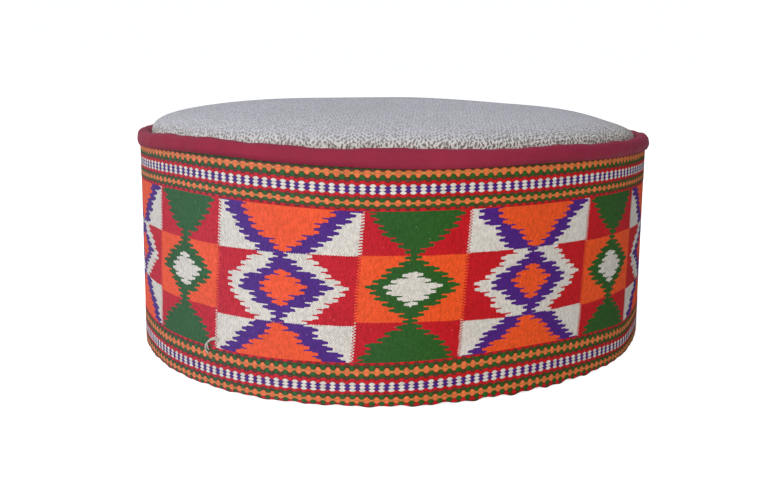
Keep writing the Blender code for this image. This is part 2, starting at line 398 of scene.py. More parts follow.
def feed(tree, socket, value):
    """Link a value to a socket, or set the socket to a number or colour."""
    if isinstance(value, Value):
        value = value.socket
    if isinstance(value, bpy.types.NodeSocket):
        tree.links.new(value, socket)
    elif socket.type == "RGBA" and len(value) == 3:
        socket.default_value = (*value, 1.0)
    else:
        socket.default_value = value


def feed_inputs(tree, node, inputs):
    """Feed a node's inputs, by name or by number."""
    for key, value in inputs.items():
        feed(tree, node.inputs[key], value)


def add_node(tree, kind, inputs=None, **settings):
    """A node with its settings made and its inputs fed."""
    node = tree.nodes.new(kind)
    for key, value in settings.items():
        setattr(node, key, value)
    feed_inputs(tree, node, inputs or {})
    return node


class Value:
    """A number that changes over a surface. Sums and products of it become Math nodes."""

    def __init__(self, tree, socket):
        self.tree = tree
        self.socket = socket

    def math(self, operation, *others):
        """A Math node on this value and the others."""
        inputs = dict(enumerate((self, *others)))
        node = add_node(self.tree, "ShaderNodeMath", inputs, operation=operation)
        return Value(self.tree, node.outputs[0])

    def __add__(self, other):
        return self.math("ADD", other)

    def __sub__(self, other):
        return self.math("SUBTRACT", other)

    def __rsub__(self, other):
        return self.math("MULTIPLY_ADD", -1.0, other)

    def __mul__(self, other):
        return self.math("MULTIPLY", other)

    def __truediv__(self, other):
        return self.math("DIVIDE", other)

    def __abs__(self):
        return self.math("ABSOLUTE")

    def __lt__(self, other):
        return self.math("LESS_THAN", other)

    def __gt__(self, other):
        return self.math("GREATER_THAN", other)

    def clamp(self, low=0.0, high=1.0):
        """This value, held between two limits."""
        return self.math("MAXIMUM", low).math("MINIMUM", high)

    def wave(self, pitch):
        """A sine that comes back after each pitch."""
        return (self * (math.tau / pitch)).math("SINE")

    def choose(self, one, other):
        """One value where this one is 1, the other where it is 0."""
        node = add_node(self.tree, "ShaderNodeMix", {0: self, 2: other, 3: one})
        return Value(self.tree, node.outputs[0])


def mix_colour(tree, factor, first, second, blend="MIX"):
    """first where the factor is 0, blended with second where it is 1."""
    inputs = {0: factor, 6: first, 7: second}
    node = add_node(tree, "ShaderNodeMix", inputs, data_type="RGBA", blend_type=blend)
    return node.outputs[2]


def combine(tree, x, y, z=0.0):
    """A vector of three values."""
    return add_node(tree, "ShaderNodeCombineXYZ", {0: x, 1: y, 2: z}).outputs[0]


def split(tree, vector):
    """The three values of a vector."""
    node = add_node(tree, "ShaderNodeSeparateXYZ", {0: vector})
    return [Value(tree, socket) for socket in node.outputs]


def shade(tree, tint, light):
    """A colour made darker or lighter by a value."""
    return mix_colour(tree, 1.0, tint, combine(tree, light, light, light), "MULTIPLY")


def noise(tree, vector, scale, detail=2.0):
    """Soft noise from 0 to 1."""
    inputs = {"Vector": vector, "Scale": scale, "Detail": detail}
    return Value(tree, add_node(tree, "ShaderNodeTexNoise", inputs).outputs[0])


def chance(tree, x, y):
    """A random value from 0 to 1 for each pair of numbers."""
    inputs = {"Vector": combine(tree, x, y)}
    node = add_node(tree, "ShaderNodeTexWhiteNoise", inputs, noise_dimensions="2D")
    return Value(tree, node.outputs[0])


def curve(tree, value, points, highest):
    """A line through charted (input, output) points, outputs from 0 to highest."""
    low, high = points[0][0], points[-1][0]
    node = add_node(tree, "ShaderNodeFloatCurve", {1: (value - low) / (high - low)})
    line = node.mapping.curves[0]
    for _ in points[2:]:
        line.points.new(0.5, 0.5)
    for spot, (x, y) in zip(line.points, points):
        spot.location = ((x - low) / (high - low), y / highest)
        spot.handle_type = "VECTOR"
    node.mapping.update()
    return Value(tree, node.outputs[0]) * highest


def group(name, inputs, outputs):
    """An empty node group with named sockets, (name, kind) each."""
    tree = bpy.data.node_groups.new(name, "ShaderNodeTree")
    for label, kind in inputs:
        tree.interface.new_socket(name=label, in_out="INPUT", socket_type=f"NodeSocket{kind}")
    for label, kind in outputs:
        tree.interface.new_socket(name=label, in_out="OUTPUT", socket_type=f"NodeSocket{kind}")
    entry = tree.nodes.new("NodeGroupInput")
    values = [Value(tree, entry.outputs[label]) for label, kind in inputs]
    return tree, values, tree.nodes.new("NodeGroupOutput")


def use_group(tree, name, inputs):
    """The outputs of a group placed in a tree."""
    node = add_node(tree, "ShaderNodeGroup", inputs, node_tree=bpy.data.node_groups[name])
    return [Value(tree, socket) for socket in node.outputs]


def yarn_beads_group():
    """Beads of yarn laid like bricks, as in beads(): the row of the bead that a point belongs
    to, the dome's height and a random value for each bead."""
    tree, (across, row, narrow), out = group(
        "yarn_beads",
        [("Across", "Float"), ("Row", "Float"), ("Narrow", "Float")],
        [("Bead Row", "Float"), ("Dome", "Float"), ("Chance", "Float")],
    )
    even_across = across.math("ROUND")
    even_row = (row * 0.5).math("ROUND") * 2.0
    odd_across = across.math("FLOOR") + 0.5
    odd_row = (row * 0.5).math("FLOOR") * 2.0 + 1.0
    even_run = (across - even_across) * (across - even_across) * 4.0
    odd_run = (across - odd_across) * (across - odd_across) * 4.0
    even = narrow * even_run + (row - even_row) * (row - even_row)
    odd = narrow * odd_run + (row - odd_row) * (row - odd_row)
    is_odd = odd < even
    bead = is_odd.choose(odd_across, even_across)
    bead_row = is_odd.choose(odd_row, even_row)
    near = (even.math("MINIMUM", odd) / (narrow * 0.5 + 0.5)).math("MINIMUM", 1.0)
    dome = (1.0 - near * 0.9).math("SQRT")
    luck = chance(tree, bead, bead_row)
    feed_inputs(tree, out, {"Bead Row": bead_row, "Dome": dome, "Chance": luck})


def wool_surface_group():
    """Wool's own unevenness: the colour differs a little from bead to bead and along the yarn
    and takes a painted cool light towards the left, from left_light_start over left_light_run,
    pale flecks of hair lie on it, painted shade darkens each bead's edge, and loose fibres add
    to the domes' height."""
    tree, (tint, spot, dome, luck, gap), out = group(
        "wool_surface",
        [("Colour", "Color"), ("Place", "Vector"), ("Dome", "Float"), ("Chance", "Float"),
         ("Gap", "Float")],
        [("Colour", "Color"), ("Height", "Float")],
    )
    stretch = add_node(tree, "ShaderNodeMapping", {"Vector": spot, "Scale": (1.0, 0.4, 1.0)})
    streaks = noise(tree, stretch.outputs[0], 1500.0, 3.0)
    patches = noise(tree, spot, 60.0, 2.0)
    fibres = noise(tree, spot, 4200.0, 2.0)
    dye = bpy.context.scene.kullu_dye
    # Painted light: towards the left end each yarn's colour is mixed with a bluish tint of cool light
    left_light_start, left_light_run = 0.010, 0.075
    fade = ((left_light_start - split(tree, spot)[0]) / left_light_run).clamp() * dye.fade
    tint = mix_colour(tree, fade, tint, dye.left_light_tint)
    light = luck * 0.22 + streaks * 0.55 + patches * 0.20 + fibres * 0.20 + 0.42
    fleck = (noise(tree, spot, 1700.0, 0.0) > 0.862) * 0.5
    flecked = mix_colour(tree, fleck, shade(tree, tint, light), dye.fleck)
    # Painted shade: each bead's edge is darkened towards the dark colour, as shade between the beads
    edge = ((0.88 - dome + (fibres - 0.5) * 0.25) * 6.0).clamp()
    surface = mix_colour(tree, edge * gap, flecked, dye.gap)
    height = dome + streaks * 0.5 + fibres * 0.35
    feed_inputs(tree, out, {"Colour": surface, "Height": height})


def herringbone_group():
    """Herringbone tweed: upright strokes of light yarn, crossed by lines that run up one column
    and down the next, with the brown yarn showing in flecks where both leave it bare. The last
    input, from 0 to 1, is how far raised hair hides the weave; it also lightens the colour a
    little and tints it bluish as painted cool light from above. Widths and pitches are in mm."""
    tree, (spot, light, dark, nap_and_top_light), out = group(
        "herringbone",
        [("Place", "Vector"), ("Light", "Color"), ("Dark", "Color"), ("Nap", "Float")],
        [("Colour", "Color"), ("Height", "Float")],
    )
    wander = add_node(tree, "ShaderNodeTexNoise", {"Vector": spot, "Scale": 160.0, "Detail": 1.0})
    offset = add_node(
        tree, "ShaderNodeVectorMath", {0: wander.outputs["Color"], 1: (-0.5, -0.5, -0.5)}, operation="ADD"
    )
    moved = add_node(
        tree, "ShaderNodeVectorMath", {0: offset.outputs[0], 1: (0.0011,) * 3, 2: spot},
        operation="MULTIPLY_ADD",
    )
    across, along = [part / MM for part in split(tree, moved.outputs[0])[:2]]
    column_width, line_pitch, stroke_pitch = 4.7, 2.1, 1.15
    fray = noise(tree, spot, 420.0, 2.0) - 0.5
    clear = 1.0 - nap_and_top_light * 0.55
    line = across.math("PINGPONG", column_width) + along
    chevron = (line * (math.tau / line_pitch) + fray * 9.0).math("SINE") * 0.5 + 0.5
    strokes = (across * (math.tau / stroke_pitch) + fray * 16.0).math("SINE") * 0.5 + 0.5
    dashes = noise(tree, combine(tree, across * 1.7, along * 0.8), 1.0, 2.0)
    flecks = noise(tree, combine(tree, across * 0.5, along * 0.4, 5.0), 1.0, 1.0)
    thread = (strokes * 0.35 + chevron * 0.25 + dashes * 0.8 - 0.1) * clear
    hollow = (1.0 - strokes) * (1.1 - chevron) + (0.5 - dashes) * 0.6
    bare = ((hollow - 0.18 + (flecks - 0.5) * 1.6) * 2.4).clamp() * clear * 0.85
    hair = noise(tree, spot, 2100.0, 4.0)
    patches = noise(tree, spot, 45.0, 2.0)
    tone = thread * 0.30 + hair * 0.60 + patches * 0.15 + nap_and_top_light * 0.10 + 0.46
    # Painted light: where the hair is raised, on the crown's top, the colour is tinted bluish as cool
    # light from above
    pale = mix_colour(tree, nap_and_top_light * 0.8, shade(tree, light, tone), (0.92, 0.95, 1.12), "MULTIPLY")
    height = thread * 1.3 + hair * 0.9 - bare * 0.5
    feed_inputs(tree, out, {"Colour": mix_colour(tree, bare, pale, dark), "Height": height})


def kullu_motifs_group():
    """The band's field at one place: a green tree with a cream heart on orange and red blocks,
    then a purple cross with a diamond, cream zigzag and orange triangles, over and over, each
    a little higher or lower than the next.

    along and up are in mm, along from the middle of a green tree. Each outline is a half
    width charted against the height. It is read once for each stair, so a slant turns into
    stairs, and each stair has a blunt finger of yarn that sticks out by a chance of its own.
    The panels' upright edges have a tooth for each half stair."""
    yarns = ("red", "orange", "green", "purple", "cream")
    tree, (along, up, *tints), out = group(
        "kullu_motifs",
        [("Along", "Float"), ("Up", "Float"), *((name, "Color") for name in yarns)],
        [("Colour", "Color")],
    )
    red, orange, green, purple, cream = tints
    weave = bpy.context.scene.kullu_weave
    repeat = weave.repeat / MM
    wander = noise(tree, combine(tree, along * 0.13, up * 0.13), 1.0, 2.0) - 0.5
    rough = noise(tree, combine(tree, along * 1.3, up * 2.4, 7.0), 1.0, 1.0) - 0.5
    leant = along - (up - BLOCKS_MIDDLE) * weave.lean + wander * 0.8
    side = (leant / (repeat / 2)).math("FLOOR")
    motif = (leant / repeat).math("ROUND")
    near = abs(leant - motif * repeat)
    far = repeat / 2 - near
    cross = (leant / repeat).math("FLOOR")
    panel = (near < GREEN_PANEL_HALF).choose(motif * 2.0, cross * 2.0 + 1.0)
    most = 2.0
    low = curve(tree, panel, [(number, lift + most) for number, lift, _ in PANEL_LIFTS], 2 * most)
    high = curve(tree, panel, [(number, lift + most) for number, _, lift in PANEL_LIFTS], 2 * most)
    reach = ((up - BLOCKS_BOTTOM) / (BLOCKS_TOP - BLOCKS_BOTTOM)).clamp()
    up = up - reach.choose(high, low) + wander * 0.5 + most
    shift = chance(tree, side, 3.0)
    level = up / weave.tooth + shift
    held = ((level * 0.5).math("FLOOR") * 2.0 - shift + 1.0) * weave.tooth
    rib_pitch = 0.75
    ribs = along.wave(rib_pitch) * 0.12
    edge_up = up + ribs + rough * 0.4
    in_blocks = (edge_up > BLOCKS_BOTTOM) * (edge_up < BLOCKS_TOP)

    def teeth(height, length):
        blunt = (height.math("PINGPONG", 0.5) * 9.0 - 2.1).clamp(-0.5, 0.5)
        return blunt * length + rough * 0.7

    def shape(distance, points, seed, loose):
        half = curve(tree, held, points, CHART_HALF)
        finger = (chance(tree, (level * 0.5).math("FLOOR") + seed, side) - 0.5) * loose
        return (distance < half + finger + teeth(level * 0.5, 1.7)) * (half > 0.3)

    in_tree_panel = (near + teeth(level, 1.0)) < GREEN_PANEL_HALF

    ground = mix_colour(tree, in_blocks, red, orange)
    ground = mix_colour(tree, shape(near, TREE, 10.0, 1.4), ground, green)
    tree_panel = mix_colour(tree, shape(near, CREAM_HEART, 20.0, 1.8), ground, cream)

    blocks = mix_colour(tree, shape(far, CREAM_ZIGZAG, 30.0, 2.4), red, cream)
    blocks = mix_colour(tree, shape(far, PURPLE_DIAMOND, 40.0, 2.2), blocks, purple)
    blocks = mix_colour(tree, shape(far, ORANGE_HEART, 50.0, 1.4), blocks, orange)
    corners = mix_colour(tree, shape(far, DIAGONALS, 60.0, 2.4), cream, purple)
    corners = mix_colour(tree, shape(far, CORNER_TRIANGLES, 70.0, 2.2), corners, orange)
    cross_panel = mix_colour(tree, in_blocks, corners, blocks)
    feed(tree, out.inputs["Colour"], mix_colour(tree, in_tree_panel, cross_panel, tree_panel))


# Materials


def new_material(name, roughness, sheen, sheen_tint=(1.0, 1.0, 1.0), sheen_roughness=0.5):
    """A cloth material, its tree and its shader."""
    material = bpy.data.materials.new(name)
    material.use_nodes = True
    tree = material.node_tree
    shader = tree.nodes["Principled BSDF"]
    shader.inputs["Roughness"].default_value = roughness
    shader.inputs["Specular IOR Level"].default_value = 0.1
    shader.inputs["Sheen Weight"].default_value = sheen
    shader.inputs["Sheen Roughness"].default_value = sheen_roughness
    shader.inputs["Sheen Tint"].default_value = (*sheen_tint, 1.0)
    return material, tree, shader


def finish_material(tree, shader, tint, height, distance):
    """Feed the shader its colour, and a bump of the height, distance metres tall."""
    bump = add_node(tree, "ShaderNodeBump", {"Height": height, "Distance": distance})
    feed_inputs(tree, shader, {"Base Color": tint, "Normal": bump.outputs["Normal"]})


def finish_wool(tree, shader, tint, spot, dome, luck, gap, distance):
    """Finish a material as wool of a colour, on beads of yarn with painted shade between them."""
    wool = {"Colour": tint, "Place": spot, "Dome": dome, "Chance": luck, "Gap": gap}
    surface, height = use_group(tree, "wool_surface", wool)
    finish_material(tree, shader, surface, height, distance)


def cloth_place(tree):
    """The piece's own map, (along, up) in metres, as a vector and two values in mm."""
    spot = add_node(tree, "ShaderNodeUVMap", uv_map="cloth").outputs[0]
    along, up, _ = split(tree, spot)
    return spot, along / MM, up / MM


def field_material():
    """Weft-faced wool of the field: the motifs' colours on small beads of yarn."""
    scene = bpy.context.scene
    weave, dye = scene.kullu_weave, scene.kullu_dye
    material, tree, shader = new_material("woven_field_wool", 0.9, 0.02)
    spot, along, up = cloth_place(tree)
    sway = noise(tree, spot, 210.0, 1.0) - 0.5
    across = along / (weave.bead / MM) + sway * 0.5
    row = (up - FIELD_BOTTOM) / (weave.row / MM) + sway * 0.7
    lattice = {"Across": across, "Row": row, "Narrow": weave.narrow}
    _, dome, luck = use_group(tree, "yarn_beads", lattice)
    tints = {name: getattr(dye, name) for name in ("red", "orange", "green", "purple", "cream")}
    tint = use_group(tree, "kullu_motifs", {"Along": along, "Up": up, **tints})[0]
    # Painted shade between the field's beads: 0.22 of the dark colour at their edges
    finish_wool(tree, shader, tint, spot, dome, luck, 0.22, 0.00014)
    return material


def border_material(name, top, stripes):
    """Wool of a striped border: a row of beads has one yarn, and the checks take two in turn."""
    scene = bpy.context.scene
    weave, dye = scene.kullu_weave, scene.kullu_dye
    material, tree, shader = new_material(name, 0.9, 0.02)
    spot, along, up = cloth_place(tree)
    sway = noise(tree, spot, 160.0, 1.0) - 0.5
    points = border_rows(top, stripes)
    count = float(points[-1][1])
    row = curve(tree, up, points, count) + (sway * 0.5 - 0.5)
    across = along / (weave.border_bead / MM) + sway * 0.3
    lattice = {"Across": across, "Row": row, "Narrow": weave.border_narrow}
    bead_row, dome, luck = use_group(tree, "yarn_beads", lattice)
    ramp = add_node(tree, "ShaderNodeValToRGB", {0: (bead_row + 0.5) / count})
    fill_ramp(ramp.color_ramp, stripes, dye)
    # The ramp's alpha is each stripe's share of painted shade between its beads
    tint, gap = ramp.outputs["Color"], ramp.outputs["Alpha"]
    finish_wool(tree, shader, tint, spot, dome, luck, gap, 0.00018)
    return material


def border_rows(top, stripes):
    """Points (height in mm, rows of beads below it) of a border, from its foot up."""
    left = sum(count for _, count, _ in stripes)
    points = [(top, left)]
    for _, count, foot in stripes:
        left -= count
        points.append((foot, left))
    return points[::-1]


def fill_ramp(ramp, stripes, dye):
    """One stop for each run of rows with the same yarn, from the border's foot up. Its colour
    is the yarn's, and its alpha is how much painted shade darkens the stripe between the beads."""
    yarns = []
    for yarn, count, _ in reversed(stripes):
        pair = ROW_YARNS.get(yarn, (yarn, yarn))
        yarns += [pair[i % 2] for i in range(count)]
    starts = [row for row, yarn in enumerate(yarns) if row == 0 or yarn != yarns[row - 1]]
    ramp.interpolation = "CONSTANT"
    for row in starts[2:]:
        ramp.elements.new(row / len(yarns))
    for stop, row in zip(ramp.elements, starts):
        stop.position = row / len(yarns)
        stop.color = (*getattr(dye, yarns[row]), GAP_SHADES[yarns[row]])


def tweed_material(name):
    """Herringbone tweed on the piece's own map. Its raised hair is worn off up to the crown's
    shoulder and rises over a few mm above it, bringing the painted bluish light on the top."""
    dye = bpy.context.scene.kullu_dye
    material, tree, shader = new_material(name, 0.95, 0.10)
    spot = add_node(tree, "ShaderNodeUVMap", uv_map="cloth").outputs[0]
    height = split(tree, add_node(tree, "ShaderNodeTexCoord").outputs["Object"])[2]
    shoulder, nap_rise = 0.0762, 0.0042
    # This share of raised hair also brings the painted bluish light on the crown's top
    nap_and_top_light = ((height - shoulder) / nap_rise).clamp()
    inputs = {"Place": spot, "Light": dye.tweed_light, "Dark": dye.tweed_dark, "Nap": nap_and_top_light}
    tint, height = use_group(tree, "herringbone", inputs)
    finish_material(tree, shader, tint, height, 0.00035)
    return material


def binding_material():
    """Smooth cotton strip: a fine weave, soft streaks along it and a low sheen."""
    dye = bpy.context.scene.kullu_dye
    material, tree, shader = new_material("binding_cotton", 0.62, 0.05, (0.85, 0.80, 1.0), 0.4)
    spot, along, up = cloth_place(tree)
    thread_pitch = 0.34
    warp = along.wave(thread_pitch)
    weft = up.wave(thread_pitch)
    streaks = noise(tree, combine(tree, along * 0.35, up * 2.2), 1.0, 3.0)
    patches = noise(tree, spot, 70.0, 2.0)
    light = streaks * 0.35 + patches * 0.30 + warp * weft * 0.05 + 0.68
    height = warp * weft * 0.3 + streaks * 0.8
    finish_material(tree, shader, shade(tree, dye.binding, light), height, 0.00008)
    return material


def thread_material(name, tint, roughness):
    """Twisted thread: slanting ply marks along its own map."""
    material, tree, shader = new_material(name, roughness, 0.2)
    _, along, up = cloth_place(tree)
    ply = (along * 9.0 + up).wave(1.0) * 0.5 + 0.5
    finish_material(tree, shader, shade(tree, tint, ply * 0.35 + 0.75), ply, 0.00005)
    return material


# Pieces


def strip_piece(name, arcs, rows, relief, material, foot_round=0.0):
    """A stretch of the woven strip, 0.9 mm thick. Its face is a grid of arc and height with the
    beads' relief, and its closed section goes on over a plain back. rows gives the even heights
    for an array of arcs, and relief the outset at arcs and heights. The map keeps the even
    heights, and the points drift. foot_round is how much higher the back ends than the face."""
    thick = 0.0009
    arc = arcs[:, None]
    height = rows(arc)
    front = relief(arc, height)
    half = height.shape[1] // 2
    back = [height[:, -1:], height[:, half:half + 1], height[:, :1] + foot_round]
    outset = np.concatenate([front, np.full((len(arcs), len(back)), -thick)], axis=1)
    height = np.concatenate([height, *back], axis=1)
    points = place(turn_at(arc), outset, height + drift(arc, height))
    uv = cloth_map(arc - bpy.context.scene.kullu_weave.start, height)
    return swept_piece(name, points, material, uv)


def dome_relief(height, dome, most):
    """A bead's relief, level at 0.6 of its dome. It fades out over the last 0.4 mm before the
    two heights where the strip is divided."""
    away = np.minimum(np.abs(height - FIELD_BOTTOM * MM), np.abs(height - FIELD_TOP * MM))
    return most * (dome - 0.6) * np.clip(away / 0.0004, 0, 1)


def columns_of_beads(low, high, pitch):
    """Arcs of even columns between two arcs, in step with the beads of the motifs."""
    start = bpy.context.scene.kullu_weave.start
    first = math.ceil((low - start) / pitch)
    last = math.floor((high - start) / pitch)
    return start + pitch * np.arange(first, last + 1)


class KULLUCAP_OT_weave_field(Operator):
    """Weave the patterned field of the band in two halves"""

    bl_idname = "kullucap.weave_field"
    bl_label = "Weave the field"

    def execute(self, context):
        weave = context.scene.kullu_weave
        material = field_material()
        count = round((FIELD_TOP - FIELD_BOTTOM) * MM / weave.row)
        heights = np.linspace(FIELD_BOTTOM, FIELD_TOP, count + 1) * MM
        columns_to_a_bead = 3
        end = FLAP_END - STRIP_INSET
        arcs = columns_of_beads(-end, end, weave.bead / columns_to_a_bead)
        middle = len(arcs) // 2

        def rows(arc):
            return np.broadcast_to(heights, (len(arc), len(heights)))

        def relief(arc, height):
            across = (arc - weave.start) / weave.bead
            row = (height - FIELD_BOTTOM * MM) / weave.row
            return dome_relief(height, beads(across, row, weave.narrow), weave.field_relief)

        for name, part in (("field_left", arcs[:middle + 1]), ("field_right", arcs[middle:])):
            piece = strip_piece(name, part, rows, relief, material)
            keep(piece, "woven_band")
        return {"FINISHED"}


def weave_border(weave, name, top, stripes):
    """One striped border. The rows of beads of a stripe share its height evenly. The lower
    border's foot is the cap's hem and waves by two sines of the arc, which die away upwards,
    and the upper border comes down with the flap's corners."""
    is_hem = name == "border_lower"
    feet, numbers = np.array(border_rows(top, stripes), float).T
    feet = feet * MM
    point_gap = 0.00027
    columns_to_a_bead = 8
    steps = np.maximum(np.round(np.diff(feet) / point_gap), np.diff(numbers)).astype(int)
    runs = [np.linspace(low, high, count, endpoint=False)
            for low, high, count in zip(feet, feet[1:], steps)]
    grid = np.concatenate([*runs, feet[-1:]])
    end = FLAP_END - STRIP_INSET
    end_gap = 0.0 if is_hem else 0.0002
    arcs = columns_of_beads(-end, end, weave.border_bead / columns_to_a_bead)
    arcs = arcs[np.abs(arcs) < end - end_gap]

    def rows(arc):
        waves = 0.00018 * is_hem * (np.sin(arc * 410) + np.sin(arc * 977 + 1) + 2)
        height = grid + waves * np.exp(-grid / 0.0008)
        foot = height[:, :1]
        ceiling = np.minimum(grid[-1], flap_top(arc) - 2 * STRIP_INSET)
        return foot + (height - foot) * ((ceiling - foot) / (grid[-1] - foot))

    def relief(arc, height):
        across = (arc - weave.start) / weave.border_bead
        row = np.interp(height, feet, numbers) - 0.5
        return dome_relief(height, beads(across, row, weave.border_narrow), weave.border_relief)

    material = border_material(f"woven_{name}", top, stripes)
    piece = strip_piece(name, arcs, rows, relief, material, foot_round=0.0004)
    keep(piece, "woven_band")


class KULLUCAP_OT_weave_borders(Operator):
    """Weave the two striped borders of the band, with a bead of yarn at every crossing"""

    bl_idname = "kullucap.weave_borders"
    bl_label = "Weave the borders"

    def execute(self, context):
        weave = context.scene.kullu_weave
        weave_border(weave, "border_upper", *UPPER_BORDER)
        weave_border(weave, "border_lower", *LOWER_BORDER)
        return {"FINISHED"}


class KULLUCAP_OT_turn_up_flap(Operator):
    """Make the tweed flap that carries the woven strip, thin where the binding grips its edge"""

    bl_idname = "kullucap.turn_up_flap"
    bl_label = "Turn up the flap"

    def execute(self, context):
        end = FLAP_END - STRIP_INSET
        arcs = np.linspace(-end, end, 420)[:, None]
        top = flap_top(arcs) - STRIP_INSET
        foot = np.zeros_like(top)
        face = np.full_like(top, -0.0010)
        soft, bevel = 0.0009, 0.0004
        up = soft + (top - 2 * soft) * np.linspace(0, 1, 5)
        down = up[:, ::-1]
        from_edge = np.minimum(end - np.abs(arcs), top - down)
        full = np.clip((from_edge - GRIP_DEPTH) / GRIP_FADE, 0, 1)
        back = -(STRIP_THICK + (FLAP_THICK - STRIP_THICK) * full)
        height = np.concatenate([foot, up, top, top, down, foot], axis=1)
        outset = np.concatenate(
            [face - soft, np.broadcast_to(face, up.shape), face - bevel, back[:, :1] + bevel, back,
             back[:, -1:] + soft], axis=1
        )
        points = place(turn_at(arcs), outset, height)
        piece = swept_piece("flap_cloth", points, tweed_material("flap_tweed"), cloth_map(arcs, height))
        keep(piece, "woven_band")
        return {"FINISHED"}


def binding_path():
    """Arc, height and direction out of the flap along its edge: up the +X end, round the
    corner, over the front and down the other end, about a millimetre apart."""
    leg_top = EDGE_HEIGHT - CORNER_RADIUS
    legs = np.linspace(CLEAR, leg_top, 52)[:-1]
    bends = np.linspace(0, math.pi / 2, 30)
    right_arc = np.concatenate([np.full(len(legs), FLAP_END),
                                FLAP_END - CORNER_RADIUS * (1 - np.cos(bends))])
    right_height = np.concatenate([legs, leg_top + CORNER_RADIUS * np.sin(bends)])
    right_angle = np.concatenate([np.zeros(len(legs)), bends])
    run = np.linspace(right_arc[-1], -right_arc[-1], 560)[1:-1]
    arc = np.concatenate([right_arc, run, -right_arc[::-1]])
    run_height = EDGE_HEIGHT + edge_swell(turn_at(run))
    height = np.concatenate([right_height, run_height, right_height[::-1]])
    level = np.full(len(run), math.pi / 2)
    angle = np.concatenate([right_angle, level, math.pi - right_angle[::-1]])
    return arc, height, angle


def binding_section(show):
    """The folded strip cut across, (distance out of the edge, outset) for each section: the
    outer leg with its turned-in foot, puffed out by a parabola, half an oval over the fold,
    and the inner leg."""
    face = CLEAR + BINDING_THICK
    back = -(STRIP_THICK + CLEAR + BINDING_THICK)
    middle = (face + back) / 2
    fold_depth, puff = 0.0020, 0.0002
    bends = np.linspace(math.pi / 2, -math.pi / 2, 13)
    legs = [(-show, 0.0002), (-show - 0.0002, 0.0006), (-show, 0.0010), (-show + 0.0006, face)]
    legs += [(-show * f - fold_depth * (1 - f), face + puff * 4 * f * (1 - f))
             for f in (0.7, 0.4, 0.15)]
    over = [(fold_depth * (math.cos(a) - 1), middle + (face - middle) * math.sin(a)) for a in bends]
    inner_foot = -show - 0.0008
    grip = CLEAR - STRIP_INSET
    inner = back + BINDING_THICK
    inside = [(inner_foot, back), (inner_foot, inner), (grip, inner), (grip, CLEAR)]
    profile = legs + over + inside + [(-show / 2, CLEAR)]
    ones = np.ones_like(show)
    out = np.stack([ones * distance for distance, _ in profile], axis=1)
    side = np.stack([ones * outset for _, outset in profile], axis=1)
    return out, side


class KULLUCAP_OT_sew_binding(Operator):
    """Fold the maroon binding over the flap's edge, with its puckers and its sewing thread, which is also
    a dark line of painted shadow under the binding's foot
    """

    bl_idname = "kullucap.sew_binding"
    bl_label = "Sew the binding"

    def execute(self, context):
        arc, height, angle = binding_path()
        turn = turn_at(arc)
        show = BINDING_SHOW + bells(turn, *FOOT_WAVES)
        out, side = binding_section(show)
        length = running(np.hypot(np.diff(arc), np.diff(height)))[:, None]
        # Sines of the length make the outer leg's puckers and the fold's slow rise and fall
        outer = np.clip((side + 0.0012) / 0.0024, 0, 1)
        foot = np.clip(-out / BINDING_SHOW, 0, 1)
        puckers = np.sin(length * 520 + 3 * np.sin(length * 71)) + 0.7 * np.sin(length * 893 + 1)
        side = side + outer * foot * 0.00009 * puckers
        top = np.clip(1 + out / 0.003, 0, 1)
        wander = np.sin(length * 190 + 2 * np.sin(length * 37)) + 0.5 * np.sin(length * 610 + 1)
        reach = out + (0.00018 * wander + bells(turn, *FOLD_WAVES)[:, None]) * top
        left_out = 1 - bells(turn, PRESSED)[:, None]
        side = np.where(side > CLEAR, CLEAR + (side - CLEAR) * left_out, side)
        along = arc[:, None] + reach * np.cos(angle)[:, None]
        up = height[:, None] + reach * np.sin(angle)[:, None]
        points = place(turn_at(along), side, up)
        around = np.cumsum(np.hypot(np.diff(out, axis=1, prepend=out[:, :1]),
                                    np.diff(side, axis=1, prepend=side[:, :1])), axis=1)
        uv = cloth_map(length, around)
        piece = swept_piece("binding_cloth", points, binding_material(), uv, sharp=70)
        keep(piece, "binding")
        self.sew(context, arc, height, angle, show, length[:, 0])
        return {"FINISHED"}

    def sew(self, context, arc, height, angle, show, length):
        """The sewing thread, which also stands for the painted shadow line under the binding: it runs
        along the binding's foot and sways by a sine of the length from stitch to stitch."""
        # Painted shadow: the dark thread runs the whole length of the binding's foot, partly a seam and
        # partly the shadow line under the binding
        reach = 0.00022 - show - 0.00010 * np.sin(length * 2400)
        seam = place(turn_at(arc + reach * np.cos(angle)), 0.00032, height + reach * np.sin(angle))
        points, uv = tube(seam, 0.00030)
        material = thread_material("seam_thread", context.scene.kullu_dye.thread, 0.8)
        keep(swept_piece("binding_seam", points, material, uv))


def top_rise(turn, reach):
    """Rise of the crown's top above its seam: one flattened dome, (1 - reach^power)^root, that
    tips to one side and dips over one shoulder."""
    dip = reach ** 6 * bells(turn, TOP_DIP)
    tilt = TOP_TILT * reach * np.sin(turn)
    return (CROWN_RISE - dip - tilt) * (1 - reach ** TOP_POWER) ** TOP_ROOT


